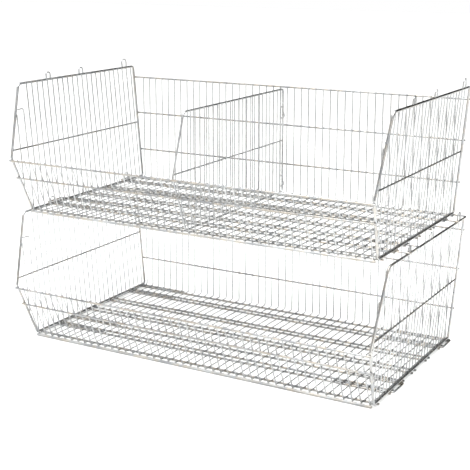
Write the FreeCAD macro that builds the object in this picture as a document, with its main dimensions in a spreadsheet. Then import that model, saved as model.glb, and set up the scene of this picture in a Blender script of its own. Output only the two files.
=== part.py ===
"""Two open-fronted stacking baskets of welded steel wire, with a lift-out divider.

Millimetres, +Z up. The fronts face -Y and the long side runs along X.
The origin is on the surface that the lower basket stands on, under the middle of its floor.

Every basket is the same: two side panels that flare outwards, and one wire mesh that runs
down the sloping front, under the floor and up the back. The outline of a side panel is the
reference for all of it: the mesh wires follow that outline, a little outside it, and the
rails lie outside the mesh wires.
"""

import FreeCAD
import Part
import Sketcher
import math
import os

V = FreeCAD.Vector

# Driving dimensions: alias, value, meaning. All places are wire centre to wire centre.
SIZES = [
    ("floor_width", 939.5, "between the two side panels, at the floor"),
    ("front_reach", 250.0, "floor centre to the front corner of a side panel"),
    ("back_reach", 241.0, "floor centre to the back upright of a side panel"),
    ("panel_height", 316.5, "bottom wire to top wire of a side panel, upright"),
    ("flare", 27.0, "how far the top of a side panel stands out"),
    ("gate_height", 138.75, "rise of the sloping front"),
    ("gate_reach", 56.0, "how far the sloping front leans forward"),
    ("brow_reach", 3.3, "top front corner of a side panel, ahead of the floor's corner"),
    ("frame_bend", 8.0, "bend radius of a side panel's frame"),
    ("brow_bend", 14.0, "bend radius of its top front corner"),
    ("mesh_bend", 5.0, "bend radius of the mesh wires"),
    ("frame_wire", 6.5, "diameter: side frames and front edge"),
    ("rail_wire", 5.0, "diameter: rails"),
    ("mid_wire", 4.5, "diameter: wire across the middle of a side panel"),
    ("hook_wire", 4.0, "diameter: stacking hooks"),
    ("fine_wire", 3.0, "diameter: mesh wires"),
    ("weld_overhang", 1.5, "how far a rail runs past the frame it is welded to"),
    ("cross_pitch", 21.0, "mesh wires of the floor, back and front"),
    ("cross_margin", 6.5, "least room between the last of them and a side panel's foot"),
    ("side_pitch", 20.4, "upright wires of a side panel"),
    ("side_margin", 20.0, "least room between the foremost of them and the floor's corner"),
    ("mid_height", 156.75, "mid wire above the bottom wire"),
    ("nose_inset", 25.0, "short upright in the nose, ahead of the floor's corner"),
    ("turned_room", 11.2, "the foremost long upright turns forward, above the nose upright"),
    ("top_rail_drop", 30.75, "back's top rail below the side panels' top wires"),
    ("high_rail_height", 183.75, "back rails above the bottom wire: middle"),
    ("low_rail_height", 77.75, "low"),
    ("gate_top_rail", 145.0, "front rails, up the slope from the floor: top"),
    ("gate_low_rail", 95.5, "low"),
    ("pair_spacing", 21.0, "between the two wires of a pair of floor rails"),
    ("loop_spacing", 64.0, "between the two legs of a stacking loop"),
    ("loop_length", 148.0, "from the ends of a stacking loop's legs to its outer bar"),
    ("loop_reach", 6.75, "outer bar of a pulled-out loop, beyond a side panel's top wire"),
    ("loop_bend", 8.0, "bend radius of a stacking loop"),
    ("loop_play", 0.5, "play of the sliding loops under the mesh and at the rails' ends"),
    ("hook_width", 16.0, "between the two legs of a stacking hook"),
    ("hook_rise", 18.0, "top of a stacking hook above the top wire"),
    ("rear_hook_width", 20.0, "the same two sizes of the rear hook: width"),
    ("rear_hook_rise", 23.5, "rise"),
    ("stack_gap", 0.3, "play between a basket and the one under it"),
    ("divider_step", 1, "how many half mesh gaps the divider stands left of the centre"),
    ("divider_gap", 0.35, "play between the divider and the basket it stands in"),
    ("divider_drop", 35.5, "top wire of the divider below the side panels' top wires"),
    ("divider_frame_wire", 5.0, "diameter"),
    ("divider_mid_wire", 4.0, "diameter"),
    ("divider_mid_height", 143.0, "mid wire above the basket's bottom wire"),
    ("divider_hook_depth", 20.5, "how far a divider hook reaches behind its frame"),
    ("divider_hook_height", 30.0, "height of a divider hook"),
    ("high_hook_drop", 48.0, "top of the upper divider hook below the divider's top wire"),
    ("low_hook_top", 47.0, "top of the lower divider hook above the bottom wire"),
]

# Places along Y, each measured back from the front corner or forward from the back upright.
RAILS = {
    "front_end": ("front", 22.0),
    "first_pair": ("front", 99.0),
    "second_pair": ("front", 163.0),
    "third_pair": ("front", 239.0),
    "fourth_pair": ("back", 159.0),
    "fifth_pair": ("back", 64.0),
    "back_end": ("back", 13.0),
}
HOOKS = {"front": ("front", 114.0), "middle": ("front", 250.0), "rear": ("back", 43.0)}
LOOPS = {"front": ("front", 131.0), "rear": ("back", 32.0)}

doc = FreeCAD.newDocument("stacking_baskets")
dims = doc.addObject("Spreadsheet::Sheet", "dims")
PLACES = [(f"{name}_inset", inset, f"floor rail, from the {end}")
          for name, (end, inset) in RAILS.items()]
PLACES += [(f"{name}_hook_inset", inset, f"stacking hook, from the {end}")
           for name, (end, inset) in HOOKS.items()]
PLACES += [(f"{name}_loop_inset", inset, f"stacking loop, from the {end}")
           for name, (end, inset) in LOOPS.items()]
for row, (alias, value, meaning) in enumerate(SIZES + PLACES, start=1):
    dims.set(f"A{row}", str(value))
    dims.setAlias(f"A{row}", alias)
    dims.set(f"B{row}", meaning)
doc.recompute()

# Expressions shared by several pieces.
FRAME_Z = "(dims.rail_wire + dims.frame_wire / 2)"
MESH_OUT = "((dims.frame_wire - dims.fine_wire) / 2)"
RAIL_OUT = "((dims.frame_wire + dims.rail_wire) / 2)"
GATE_LENGTH = "sqrt(dims.gate_reach ^ 2 + dims.gate_height ^ 2)"
SLANT = "sqrt(1 + (dims.flare / dims.panel_height) ^ 2)"
STACK_PITCH = (f"({FRAME_Z} + dims.panel_height + dims.frame_wire / 2 + dims.stack_gap"
               " - dims.loop_play)")
BASE_Z = {"lower": "0", "upper": STACK_PITCH}
SIDES = {"left": -1, "right": 1}
CROSS_COUNT = "(2 * floor((dims.floor_width / 2 - dims.cross_margin) / dims.cross_pitch) + 1)"
SIDE_COUNT = ("floor((dims.back_reach + dims.front_reach - dims.side_margin)"
              " / dims.side_pitch)")
LOOP_WIRE = "(dims.rail_wire - dims.loop_play)"
PULLED_OUT = "(dims.floor_width / 2 + dims.flare + dims.loop_reach)"
PUSHED_IN = (f"(dims.floor_width / 2 + dims.frame_wire / 2 + dims.weld_overhang"
             f" + dims.loop_play + {LOOP_WIRE} / 2)")
TOP_RAIL_HEIGHT = "(dims.panel_height - dims.top_rail_drop)"
NOSE_TOP = ("(dims.panel_height - (dims.panel_height - dims.gate_height)"
            " * (dims.nose_inset - dims.brow_reach) / (dims.gate_reach - dims.brow_reach))")
TURNED_HEIGHT = f"({NOSE_TOP} + dims.turned_room)"
DIVIDER_HEIGHT = "(dims.panel_height - dims.divider_drop)"


def value_of(expression):
    """The number that an expression of the sheet comes to."""
    result = dims.evalExpression(expression)
    return float(getattr(result, "Value", result))


def place_from(end, inset):
    """A place along Y, measured from the front corner or from the back upright."""
    return f"({inset} - dims.front_reach)" if end == "front" else f"(dims.back_reach - {inset})"


def gate_point(along, out):
    """Expressions for a point up the sloping front, and out of the panel's outline by `out`."""
    y = (f"-dims.front_reach - (dims.gate_reach * ({along}) + dims.gate_height * ({out}))"
         f" / {GATE_LENGTH}")
    z = f"(dims.gate_height * ({along}) - dims.gate_reach * ({out})) / {GATE_LENGTH}"
    return y, z


def floor_corner(out):
    """Where the sloping front meets the floor, both moved out of the outline by `out`."""
    y = f"-dims.front_reach - ({out}) * ({GATE_LENGTH} - dims.gate_reach) / dims.gate_height"
    return y, f"-({out})"


def half_span(height):
    """Half the distance between the side panels at a height above the bottom wires."""
    return f"dims.floor_width / 2 + dims.flare * ({height}) / dims.panel_height"


def new_body(name):
    body = doc.addObject("PartDesign::Body", name)
    body.Label = name
    return body


def place_body(body, x="0", y="0", z="0"):
    """Bind a body's place to the sheet."""
    for axis, expression in zip("xyz", (x, y, z)):
        body.setExpression(f"Placement.Base.{axis}", expression)


def datum(body, role):
    """The body's own origin plane or axis, such as YZ_Plane."""
    for feature in body.Origin.OriginFeatures:
        if feature.Role == role:
            return feature
    raise ValueError(role)


def corner_arc(before, corner, after, radius):
    """The tangent arc that rounds a corner: its two ends and its middle."""
    into = (before - corner).normalize()
    away = (after - corner).normalize()
    half = into.getAngle(away) / 2
    start = corner + into * (radius / math.tan(half))
    end = corner + away * (radius / math.tan(half))
    centre = corner + (into + away).normalize() * (radius / math.sin(half))
    middle = centre + (corner - centre).normalize() * radius
    return start, middle, end


def draw_path(body, name, plane, corners, bends, closed=False):
    """A sketch of straight runs joined by tangent arcs.

    corners holds pairs of expressions, and bends one radius expression per rounded corner.
    Each corner is a point held by two bound distances, each run passes through its two
    corners, and each arc is tangent to both runs and has a bound radius. The path is drawn
    in the order that turns to the left, which is how a sketch keeps its arcs.
    """
    sketch = body.newObject("Sketcher::SketchObject", name)
    sketch.AttachmentSupport = [(datum(body, plane), "")]
    sketch.MapMode = "FlatFace"
    points = [V(value_of(a), value_of(b), 0) for a, b in corners]
    if (points[1] - points[0]).cross(points[2] - points[1]).z < 0:
        points, corners, bends = points[::-1], corners[::-1], bends[::-1]
    count = len(points)
    rounded = list(range(count)) if closed else list(range(1, count - 1))
    arcs = {}
    for bend, index in zip(bends, rounded):
        before, after = points[index - 1], points[(index + 1) % count]
        arcs[index] = corner_arc(before, points[index], after, value_of(bend))
    runs = []
    for index in range(count if closed else count - 1):
        following = (index + 1) % count
        start = arcs[index][2] if index in arcs else points[index]
        end = arcs[following][0] if following in arcs else points[following]
        runs.append(sketch.addGeometry(Part.LineSegment(start, end), False))
    rules = []
    bound = {}
    for bend, index in zip(bends, rounded):
        arc = sketch.addGeometry(Part.Arc(*arcs[index]), False)
        starts_first = sketch.Geometry[arc].StartPoint.distanceToPoint(arcs[index][0]) < 1e-6
        near, far = (1, 2) if starts_first else (2, 1)
        bound[len(rules)] = bend
        rules.append(Sketcher.Constraint("Radius", arc, value_of(bend)))
        rules.append(Sketcher.Constraint("Tangent", runs[index - 1], 2, arc, near))
        rules.append(Sketcher.Constraint("Tangent", arc, far, runs[index], 1))
    for index, corner in enumerate(corners):
        point = sketch.addGeometry(Part.Point(points[index]), True)
        for kind, expression in zip(("DistanceX", "DistanceY"), corner):
            bound[len(rules)] = expression
            rules.append(Sketcher.Constraint(kind, -1, 1, point, 1, value_of(expression)))
        if index in arcs:
            rules.append(Sketcher.Constraint("PointOnObject", point, 1, runs[index - 1]))
            rules.append(Sketcher.Constraint("PointOnObject", point, 1, runs[index]))
        else:
            run, end = (runs[0], 1) if index == 0 else (runs[-1], 2)
            rules.append(Sketcher.Constraint("Coincident", point, 1, run, end))
    sketch.addConstraint(rules)
    for number, expression in bound.items():
        sketch.setExpression(f"Constraints[{number}]", expression)
    doc.recompute()
    return sketch


def bent_wire(body, name, plane, corners, bends, diameter, closed=False, offset=None):
    """A round wire along a path of runs and arcs; offset moves it off its sketch plane."""
    path = draw_path(body, f"{name}_path", plane, corners, bends, closed)
    if offset:
        path.setExpression("AttachmentOffset.Base.z", offset)
        doc.recompute()
    profile = body.newObject("Sketcher::SketchObject", f"{name}_section")
    profile.AttachmentSupport = [(path, "Edge1")]
    profile.MapMode = "NormalToEdge"
    profile.addGeometry(Part.Circle(V(0, 0, 0), V(0, 0, 1), value_of(diameter) / 2), False)
    profile.addConstraint(Sketcher.Constraint("Coincident", 0, 3, -1, 1))
    number = profile.addConstraint(Sketcher.Constraint("Diameter", 0, value_of(diameter)))
    profile.setExpression(f"Constraints[{number}]", diameter)
    doc.recompute()
    pipe = body.newObject("PartDesign::AdditivePipe", f"{name}_wire")
    pipe.Profile = profile
    pipe.Spine = (path, [f"Edge{i + 1}" for i in range(len(path.Shape.Edges))])
    doc.recompute()
    return pipe


def straight_wire(body, name, direction, start, length, diameter):
    """A round wire along one axis of its body, from a start given as three expressions."""
    turns = {"x": FreeCAD.Rotation(V(0, 1, 0), 90), "y": FreeCAD.Rotation(V(1, 0, 0), -90),
             "z": FreeCAD.Rotation()}
    wire = body.newObject("PartDesign::AdditiveCylinder", name)
    wire.setExpression("Radius", f"({diameter}) / 2")
    wire.setExpression("Height", length)
    wire.Placement = FreeCAD.Placement(V(0, 0, 0), turns[direction])
    for axis, expression in zip("xyz", start):
        wire.setExpression(f"Placement.Base.{axis}", expression)
    doc.recompute()
    return wire


def repeat_along(body, name, wire, axis, pitch, count):
    """A row of copies of one wire, each a separate solid."""
    row = body.newObject("PartDesign::LinearPattern", name)
    row.Originals = [wire]
    row.Direction = (datum(body, f"{axis}_Axis"), [""])
    row.setExpression("Length", f"({pitch}) * (({count}) - 1)")
    row.setExpression("Occurrences", count)
    body.Tip = row
    doc.recompute()
    return row


def side_body(name, base, side):
    """A body whose YZ plane is a side panel, flared outwards about its bottom wire."""
    body = new_body(name)
    body.Placement = FreeCAD.Placement(V(0, 0, 0), FreeCAD.Rotation(V(0, 1, 0), side * 5))
    body.setExpression("Placement.Rotation.Angle",
                       f"{side} * atan(dims.flare / dims.panel_height)")
    place_body(body, x=f"{side} * dims.floor_width / 2", z=f"{base} + {FRAME_Z}")
    return body


def front_line(height):
    """The front edge of a side panel at a height: its distance ahead of the floor's centre."""
    brow = (f"dims.brow_reach + (dims.gate_reach - dims.brow_reach)"
            f" * (dims.panel_height - ({height})) / (dims.panel_height - dims.gate_height)")
    gate = f"dims.gate_reach * ({height}) / dims.gate_height"
    return f"(dims.front_reach + min({brow}; {gate}))"


def build_side_frame(name, base, side):
    body = side_body(name, base, side)
    corners = [
        ("dims.back_reach", "0"),
        ("dims.back_reach", f"dims.panel_height * {SLANT}"),
        ("-dims.front_reach - dims.brow_reach", f"dims.panel_height * {SLANT}"),
        ("-dims.front_reach - dims.gate_reach", f"dims.gate_height * {SLANT}"),
        ("-dims.front_reach", "0"),
    ]
    bends = ["dims.frame_bend", "dims.frame_bend", "dims.brow_bend", "dims.frame_bend",
             "dims.frame_bend"]
    bent_wire(body, "frame", "YZ_Plane", corners, bends, "dims.frame_wire", closed=True)


def build_side_mid_wire(name, base, side):
    """It butts against the frame's front and back, in line with the uprights' outer faces."""
    body = side_body(name, base, side)
    inset = f"{side} * -(dims.frame_wire / 2 - dims.mid_wire / 2)"
    front = f"(-{front_line('dims.mid_height')} + dims.frame_wire / 2 + 0.2)"
    back = "(dims.back_reach - dims.frame_wire / 2)"
    start = (inset, front, f"dims.mid_height * {SLANT}")
    straight_wire(body, "mid_wire", "y", start, f"{back} - {front}", "dims.mid_wire")


def build_side_wires(name, base, side):
    """Upright wires on the panel's inner face, with a turned one and a short one in the nose."""
    body = side_body(name, base, side)
    inset = f"{side} * -(dims.frame_wire + dims.fine_wire) / 2"
    first = f"(dims.back_reach - dims.side_pitch * {SIDE_COUNT})"
    full = f"dims.panel_height * {SLANT}"
    wire = straight_wire(body, "upright", "z", (inset, first, "0"), full, "dims.fine_wire")
    repeat_along(body, "uprights", wire, "Y", "dims.side_pitch", SIDE_COUNT)

    turned = f"({first} - dims.side_pitch)"
    height = f"{TURNED_HEIGHT} * {SLANT}"
    corners = [(turned, "0"), (turned, height), (f"-{front_line(TURNED_HEIGHT)}", height)]
    bent_wire(body, "turned", "YZ_Plane", corners, ["dims.fine_wire * 2"], "dims.fine_wire",
              offset=inset)

    nose = "(-dims.front_reach - dims.nose_inset)"
    low = f"(dims.gate_height * dims.nose_inset / dims.gate_reach) * {SLANT}"
    high = f"{NOSE_TOP} * {SLANT}"
    straight_wire(body, "nose", "z", (inset, nose, low), f"{high} - {low}", "dims.fine_wire")


def build_stacking_hooks(name, base, side):
    """Loops that stand on the panel's top wire and locate the basket above."""
    body = side_body(name, base, side)
    foot = f"dims.panel_height * {SLANT} + dims.frame_wire / 2"
    for place, (end, _) in HOOKS.items():
        kind = "rear_hook" if place == "rear" else "hook"
        top = f"dims.panel_height * {SLANT} + dims.{kind}_rise"
        centre = place_from(end, f"dims.{place}_hook_inset")
        corners = [
            (f"{centre} - dims.{kind}_width / 2", foot),
            (f"{centre} - dims.{kind}_width / 2", top),
            (f"{centre} + dims.{kind}_width / 2", top),
            (f"{centre} + dims.{kind}_width / 2", foot),
        ]
        bends = [f"dims.{kind}_width * 0.4"] * 2
        bent_wire(body, f"{place}_hook", "YZ_Plane", corners, bends, "dims.hook_wire")


def build_cross_wires(name, base):
    """One mesh wire, from the top of the front, under the floor, to the top of the back."""
    body = new_body(name)
    first = f"-dims.cross_pitch * ({CROSS_COUNT} - 1) / 2"
    place_body(body, x=first, z=f"{base} + {FRAME_Z}")
    back = f"(dims.back_reach + {MESH_OUT})"
    corners = [
        gate_point("dims.gate_top_rail + dims.rail_wire / 2", MESH_OUT),
        floor_corner(MESH_OUT),
        (back, f"-{MESH_OUT}"),
        (back, f"{TOP_RAIL_HEIGHT} + dims.rail_wire / 2"),
    ]
    bends = ["dims.mesh_bend"] * 2
    wire = bent_wire(body, "mesh", "YZ_Plane", corners, bends, "dims.fine_wire")
    repeat_along(body, "mesh_wires", wire, "X", "dims.cross_pitch", CROSS_COUNT)


def build_rails(name, base, rails):
    """Straight wires along X: name, y, z above the bottom wires, diameter, half length."""
    body = new_body(name)
    place_body(body, z=f"{base} + {FRAME_Z}")
    for rail, y, z, diameter, half in rails:
        straight_wire(body, rail, "x", (f"-({half})", y, z), f"2 * ({half})", diameter)


def rail_half(height):
    """Half length of a rail that crosses both side frames at a height."""
    return f"{half_span(height)} + dims.frame_wire / 2 + dims.weld_overhang"


def build_floor_rails(name, base):
    half = rail_half("0")
    level = f"-{RAIL_OUT}"
    places = {}
    for rail, (end, _) in RAILS.items():
        y = place_from(end, f"dims.{rail}_inset")
        if rail.endswith("pair"):
            places[f"{rail}_front"] = f"{y} - dims.pair_spacing / 2"
            places[f"{rail}_back"] = f"{y} + dims.pair_spacing / 2"
        else:
            places[rail] = y
    rails = [(rail, y, level, "dims.rail_wire", half) for rail, y in places.items()]
    build_rails(name, base, rails)


def build_front_edge_wire(name, base):
    """A thick wire under the bend at the foot of the front, level with the floor rails."""
    corner_y, corner_z = floor_corner(MESH_OUT)
    half_turn = "(atan(dims.gate_height / dims.gate_reach) / 2)"
    arc_y = f"({corner_y} + dims.mesh_bend * tan({half_turn}))"
    reach = "(dims.mesh_bend + dims.fine_wire / 2 + dims.frame_wire / 2)"
    drop = f"(dims.mesh_bend - {MESH_OUT} + {FRAME_Z} - dims.frame_wire / 2)"
    y = f"{arc_y} - sqrt({reach} ^ 2 - {drop} ^ 2)"
    z = f"-{FRAME_Z} + dims.frame_wire / 2"
    half = f"{half_span('0')} - dims.frame_wire / 2"
    build_rails(name, base, [("front_edge", y, z, "dims.frame_wire", half)])


def build_back_rails(name, base, heights):
    y = f"dims.back_reach + {RAIL_OUT}"
    rails = [(f"rail_{i}", y, height, "dims.rail_wire", rail_half(height))
             for i, height in enumerate(heights)]
    build_rails(name, base, rails)


def build_gate_rail(name, base, along):
    y, z = gate_point(along, RAIL_OUT)
    build_rails(name, base, [("rail", y, z, "dims.rail_wire", rail_half(z))])


def build_stacking_loop(name, base, place, side, bar):
    """A hairpin whose legs slide between paired rails, with its outer bar at `bar`.

    Pushed in, it lies on what the basket stands on and its bar is stopped by the rails' ends.
    Pulled out, its bar stands outside the hooks of the basket below, and the legs lie on that
    basket's top wire and bear against the mesh and the frame above them.
    """
    body = new_body(name)
    lift = "0" if bar == PUSHED_IN else "dims.loop_play"
    place_body(body, z=f"{base} + {LOOP_WIRE} / 2 + {lift}")
    centre = place_from(LOOPS[place][0], f"dims.{place}_loop_inset")
    near = f"{centre} - dims.loop_spacing / 2"
    far = f"{centre} + dims.loop_spacing / 2"
    inner, outer = f"{side} * ({bar} - dims.loop_length)", f"{side} * {bar}"
    corners = [(inner, near), (outer, near), (outer, far), (inner, far)]
    bent_wire(body, "loop", "XY_Plane", corners, ["dims.loop_bend"] * 2, LOOP_WIRE)


def divider_body(name):
    body = new_body(name)
    place_body(body, x="-dims.cross_pitch / 2 * dims.divider_step",
               z=f"{BASE_Z['upper']} + {FRAME_Z}")
    return body


# The divider stands clear of the mesh wires by a small play, so its outline lies this far in.
DIVIDER_IN = f"(dims.divider_frame_wire / 2 + dims.divider_gap + dims.fine_wire / 2 - {MESH_OUT})"
DIVIDER_BACK = f"(dims.back_reach - {DIVIDER_IN})"
DIVIDER_TIP = gate_point("dims.gate_top_rail", f"-{DIVIDER_IN}")


def divider_brow(height):
    """The divider's upper front edge at a height: it runs from its nose to its top corner."""
    top_y = "(-dims.front_reach - dims.brow_reach)"
    nose_y, nose_z = DIVIDER_TIP
    return (f"({top_y} + (({nose_y}) - {top_y}) * ({DIVIDER_HEIGHT} - ({height}))"
            f" / ({DIVIDER_HEIGHT} - ({nose_z})))")


def build_divider_frame(name):
    body = divider_body(name)
    corners = [
        (DIVIDER_BACK, DIVIDER_IN),
        (DIVIDER_BACK, DIVIDER_HEIGHT),
        ("-dims.front_reach - dims.brow_reach", DIVIDER_HEIGHT),
        DIVIDER_TIP,
        floor_corner(f"-{DIVIDER_IN}"),
    ]
    bends = ["dims.frame_bend", "dims.frame_bend", "dims.brow_bend", "dims.frame_bend",
             "dims.frame_bend"]
    bent_wire(body, "frame", "YZ_Plane", corners, bends, "dims.divider_frame_wire", closed=True)


def build_divider_mid_wire(name):
    body = divider_body(name)
    front = f"({divider_brow('dims.divider_mid_height')} + dims.divider_frame_wire / 2 + 0.2)"
    back = f"({DIVIDER_BACK} - dims.divider_frame_wire / 2)"
    start = ("(dims.divider_frame_wire - dims.divider_mid_wire) / 2", front,
             "dims.divider_mid_height")
    straight_wire(body, "mid_wire", "y", start, f"{back} - {front}", "dims.divider_mid_wire")


def build_divider_wires(name):
    """Upright wires on one face of the divider's frame, and a short one in its nose."""
    body = divider_body(name)
    out = "(dims.divider_frame_wire + dims.fine_wire) / 2"
    first = f"({DIVIDER_BACK} - dims.side_pitch * {SIDE_COUNT})"
    length = f"{DIVIDER_HEIGHT} - {DIVIDER_IN}"
    start = (out, first, DIVIDER_IN)
    wire = straight_wire(body, "upright", "z", start, length, "dims.fine_wire")
    repeat_along(body, "uprights", wire, "Y", "dims.side_pitch", SIDE_COUNT)


def build_divider_hooks(name):
    """Two bent hooks that reach through the back mesh, so the divider can't slide sideways."""
    body = divider_body(name)
    out = "-(dims.divider_frame_wire + dims.fine_wire) / 2"
    heel = f"{DIVIDER_BACK} - dims.divider_frame_wire"
    tail = f"{DIVIDER_BACK} + dims.divider_hook_depth"
    tops = {"high": f"({DIVIDER_HEIGHT} - dims.high_hook_drop)", "low": "dims.low_hook_top"}
    for place, top in tops.items():
        foot = f"({top} - dims.divider_hook_height)"
        corners = [
            (heel, top),
            (f"{DIVIDER_BACK} + dims.divider_frame_wire / 2", top),
            (tail, foot),
            (heel, foot),
        ]
        bends = ["dims.fine_wire * 1.5", "dims.fine_wire * 1.5"]
        bent_wire(body, f"{place}_hook", "YZ_Plane", corners, bends, "dims.fine_wire", offset=out)


for basket, base in BASE_Z.items():
    for side_name, side in SIDES.items():
        build_side_frame(f"{basket}_side_frame_{side_name}", base, side)
        build_side_mid_wire(f"{basket}_side_mid_wire_{side_name}", base, side)
        build_side_wires(f"{basket}_side_wires_{side_name}", base, side)
        build_stacking_hooks(f"{basket}_stacking_hooks_{side_name}", base, side)
    build_cross_wires(f"{basket}_cross_wires", base)
    build_floor_rails(f"{basket}_floor_rails", base)
    build_front_edge_wire(f"{basket}_front_edge_wire", base)
    build_back_rails(f"{basket}_back_top_rail", base, [TOP_RAIL_HEIGHT])
    build_back_rails(f"{basket}_back_rails", base, ["dims.high_rail_height", "dims.low_rail_height"])
    build_gate_rail(f"{basket}_gate_top_rail", base, "dims.gate_top_rail")
    build_gate_rail(f"{basket}_gate_low_rail", base, "dims.gate_low_rail")
    for place in LOOPS:
        for side_name, side in SIDES.items():
            bar = PUSHED_IN if basket == "lower" else PULLED_OUT
            build_stacking_loop(f"{basket}_loop_{place}_{side_name}", base, place, side, bar)
build_divider_frame("divider_frame")
build_divider_mid_wire("divider_mid_wire")
build_divider_wires("divider_wires")
build_divider_hooks("divider_hooks")

doc.recompute()
for item in doc.Objects:
    faults = {"Invalid", "Error"} & set(item.State)
    if faults:
        raise RuntimeError(f"{item.Label}: {sorted(faults)}")

os.makedirs("parts", exist_ok=True)
bodies = [item for item in doc.Objects if item.TypeId == "PartDesign::Body"]
for body in bodies:
    if body.Shape.isNull() or not body.Shape.isValid():
        raise RuntimeError(f"{body.Label}: its shape is empty or not valid")
    body.Shape.exportStep(f"parts/{body.Label}.step")
    print(f"{body.Label}: {len(body.Shape.Solids)} solids, {body.Shape.Volume:.0f} mm3")
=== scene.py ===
"""Two stacked baskets of welded zinc-plated wire, with a lift-out wire divider.

Metres, +Z up. The open fronts face -Y. Every wire is drawn out of a disc along its own path.
"""

import math

import bpy
from bpy.props import FloatProperty, FloatVectorProperty, IntProperty, PointerProperty
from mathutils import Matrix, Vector


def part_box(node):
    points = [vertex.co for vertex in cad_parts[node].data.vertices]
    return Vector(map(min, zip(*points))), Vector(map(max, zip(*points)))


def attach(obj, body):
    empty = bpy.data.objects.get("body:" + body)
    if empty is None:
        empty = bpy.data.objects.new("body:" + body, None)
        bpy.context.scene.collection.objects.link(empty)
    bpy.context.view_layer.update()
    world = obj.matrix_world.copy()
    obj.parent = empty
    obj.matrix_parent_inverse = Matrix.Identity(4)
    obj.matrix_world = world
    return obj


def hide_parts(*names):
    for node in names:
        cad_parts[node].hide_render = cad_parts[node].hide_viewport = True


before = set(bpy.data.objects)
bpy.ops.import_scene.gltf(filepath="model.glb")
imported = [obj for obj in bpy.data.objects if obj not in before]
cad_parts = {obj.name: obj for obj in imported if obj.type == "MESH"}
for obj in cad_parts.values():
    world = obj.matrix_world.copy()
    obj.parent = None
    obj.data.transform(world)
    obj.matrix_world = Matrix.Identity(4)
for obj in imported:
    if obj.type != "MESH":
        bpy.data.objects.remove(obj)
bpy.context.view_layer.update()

bl_info = {
    "name": "Stacking wire baskets",
    "version": (1, 0, 0),
    "blender": (4, 5, 0),
    "location": "View3D > Sidebar > Baskets",
    "description": "Models two stacked wire baskets with a divider, wire by wire",
    "category": "Add Mesh",
}

SIDES = {"left": -1, "right": 1}
MM = 0.001

# How finely a wire is drawn: faces round it, and degrees of a bend to one step.
FINE_FACES = 10
WIRE_FACES = 12
OUTLINE_FACES = 14
FRAME_FACES = 16
BEND_STEP = 15
FEWEST_STEPS = 3
SMOOTH_ANGLE = 35
CUT_EDGE = 0.1  # broken edge of a cut end, as a share of the diameter

# Bends that follow the wire or the hook they are in, and the room ahead of a mid wire.
TURNED_BEND = 2.0  # wire diameters
CLIP_BEND = 1.5  # wire diameters
HOOK_BEND = 0.4  # hook widths
MID_WIRE_PLAY = 0.2 * MM

# Weld beads.
BEAD_WIDTH = 1.05  # mesh wires
BEAD_HEIGHT = 0.5  # mesh wires
BEAD_UNEVEN = 0.12  # of its height
THICK_BEAD_HEIGHT = 1.4  # times a mesh wire's bead, where a rail meets a side frame
HOOK_BEAD_WIDTH = 1.35  # hook wires
HOOK_BEAD_HEIGHT = 1.2  # times a mesh wire's bead

# Places along Y: which end they are measured from, and how many millimetres in from it.
FLOOR_RAILS = {
    "front_end": ("front", 22.0),
    "first_pair": ("front", 99.0),
    "second_pair": ("front", 163.0),
    "third_pair": ("front", 239.0),
    "fourth_pair": ("back", 159.0),
    "fifth_pair": ("back", 64.0),
    "back_end": ("back", 13.0),
}
# The same for the stacking hooks, with their kind, and for the loops, after their name.
HOOKS = (("front", 114.0, "hook"), ("front", 250.0, "hook"), ("back", 43.0, "rear_hook"))
LOOPS = (("front", "front", 131.0), ("rear", "back", 32.0))

# Plated wire: its smoothest and roughest gloss, how straw its film is, and a painted shade that
# scales its grey, darkest on the rails and lightest on the mesh, for how each kind of wire
# catches the light.
PLATE_GLOSS_FILM_AND_PAINTED_SHADE = {
    "mesh": (0.2, 0.36, 0.12, 0.98),
    "rail": (0.18, 0.32, 0.45, 0.75),
    "frame": (0.16, 0.3, 0.32, 0.9),
    "edge": (0.3, 0.45, 0.45, 0.95),
}

# Sizes of the plate's patterns in millimetres: grey, straw film, gloss and drawing scores.
GREY_DRIFT = 60.0
FILM_DRIFT = 22.0
GLOSS_CLOUDS = 5.0
SCORES = 0.7
SCORE_DEPTH = 0.06 * MM
WELD_CLOUDS = 2.5
WELD_PITS = 0.5
PIT_DEPTH = 0.1 * MM

# Softboxes: place, width, height and the setting that holds their power. All face LIT_POINT.
SOFTBOXES = (
    ((0.2, -0.6, 2.6), 2.6, 1.8, "key_power"),
    ((-2.6, -1.2, 1.3), 1.6, 1.6, "fill_power"),
    ((2.6, -1.6, 1.5), 1.4, 1.6, "fill_power"),
)
LIT_POINT = (0, 0, 0.3)
DIFFUSER_ANGLE = 107
# What the wires mirror all round: (place from front to back, grey).
FELT = [(0.25, 0.65), (0.8, 0.06)]
FLOOR_SPAN = 30.0

CAMERA_PLACE = (1.3042, -2.3111, 0.9671)
CAMERA_TILT = 12.19  # degrees down
CAMERA_TURN = 29.83  # degrees to the left
CAMERA_SHIFT = -0.1
SENSOR_WIDTH = 36.0  # mm

# Piece: the CAD node that it stands for, and its material slot.
PIECES = {
    "left_frame": ("side_frame_left", "zinc_plated_frame"),
    "right_frame": ("side_frame_right", "zinc_plated_frame"),
    "left_mid_wire": ("side_mid_wire_left", "zinc_plated_wire"),
    "right_mid_wire": ("side_mid_wire_right", "zinc_plated_wire"),
    "left_uprights": ("side_wires_left", "zinc_plated_wire"),
    "right_uprights": ("side_wires_right", "zinc_plated_wire"),
    "left_hooks": ("stacking_hooks_left", "zinc_plated_wire"),
    "right_hooks": ("stacking_hooks_right", "zinc_plated_wire"),
    "mesh": ("cross_wires", "zinc_plated_wire"),
    "floor_bars": ("floor_rails", "zinc_plated_rail"),
    "front_bar": ("front_edge_wire", "zinc_plated_frame"),
    "back_top_bar": ("back_top_rail", "zinc_plated_rail"),
    "back_bars": ("back_rails", "zinc_plated_rail"),
    "gate_top_bar": ("gate_top_rail", "zinc_plated_rail"),
    "gate_low_bar": ("gate_low_rail", "zinc_plated_rail"),
}


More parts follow.
